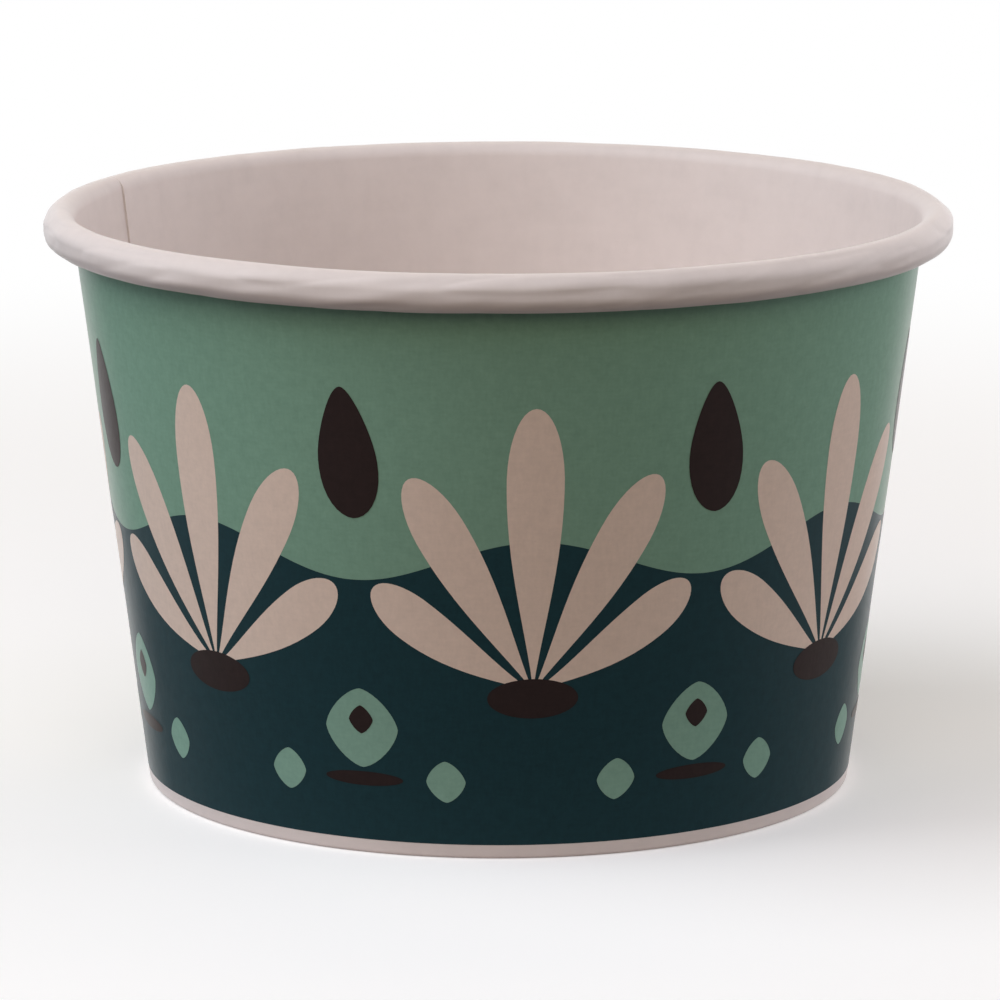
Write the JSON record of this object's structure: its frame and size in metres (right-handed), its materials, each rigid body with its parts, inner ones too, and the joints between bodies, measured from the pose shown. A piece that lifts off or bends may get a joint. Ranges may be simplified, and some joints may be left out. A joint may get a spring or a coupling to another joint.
{
  "type": "paper dessert cup",
  "caption": "Conical paperboard cup with a rolled rim, a bonded side overlap and a recessed base disc held in a folded foot, for ice cream and other desserts",
  "frame": {"origin": "centre of the foot, on the surface the cup stands on", "axes": "+Z is the cup's axis, towards the open mouth; -Y faces the viewer of the picture, and the side overlap's inner edge lies 156 degrees round from +X, at the back left"},
  "size_m": [0.096, 0.096, 0.0615],
  "materials": {
    "wall_board": "white coated paperboard, its outside printed in matt green and dark teal with pale shapes, its inside, rim and foot bare",
    "base_board": "white coated paperboard, unprinted, matt"
  },
  "bodies": {
    "root": {"sidewall": "wall_board", "base_disc": "base_board"}
  },
  "joints": []
}
